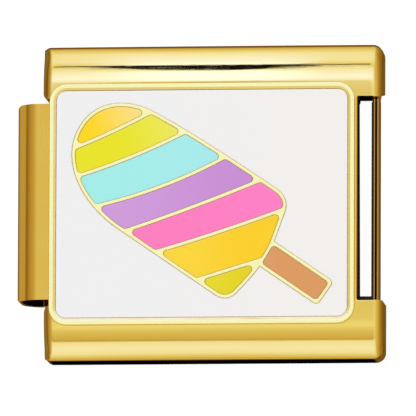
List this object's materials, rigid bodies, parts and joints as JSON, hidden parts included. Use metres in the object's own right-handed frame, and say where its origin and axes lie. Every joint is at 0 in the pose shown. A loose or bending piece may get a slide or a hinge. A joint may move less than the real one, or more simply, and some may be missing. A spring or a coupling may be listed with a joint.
{
  "type": "enamelled modular bracelet link",
  "caption": "Gold link of a modular bracelet with a sprung hook, a slotted end bar and a white enamel face showing a striped ice pop.",
  "frame": {"origin": "middle of the link's box, on the surface that its flat back lies on", "axes": "+X along the bracelet towards the end bar, +Y across the bracelet towards the top of the picture, +Z out of the enamelled face"},
  "size_m": [0.0104, 0.009, 0.0025],
  "materials": {
    "polished_gold": "mirror-polished gold plate on steel",
    "brushed_gold": "finely drawn gold plate on steel",
    "pale_gold": "bright pale gold on raised edges",
    "dark_steel": "darkened steel with a fine grain",
    "white_enamel": "glossy white enamel",
    "orange_enamel": "glossy enamel, paler towards one side",
    "lime_enamel": "glossy enamel, paler towards one side",
    "cyan_enamel": "glossy enamel",
    "lilac_enamel": "glossy enamel",
    "pink_enamel": "glossy enamel",
    "yellow_enamel": "glossy enamel",
    "tan_enamel": "glossy enamel"
  },
  "bodies": {
    "link": {"shell": "polished_gold", "core": "dark_steel", "end_bar": "brushed_gold", "face_tray": "pale_gold", "enamel_white": "white_enamel", "enamel_orange": "orange_enamel", "enamel_lime": "lime_enamel", "enamel_cyan": "cyan_enamel", "enamel_lilac": "lilac_enamel", "enamel_pink": "pink_enamel", "enamel_yellow": "yellow_enamel", "enamel_lime_tip": "lime_enamel", "enamel_stick": "tan_enamel"},
    "hook": {"hook": "brushed_gold"}
  },
  "joints": [
    {"name": "hook_slide", "type": "slide", "parent": "link", "child": "hook", "axis": [-1, 0, 0], "range_m": [0, 0.0009], "stiffness_N_per_m": 60}
  ]
}
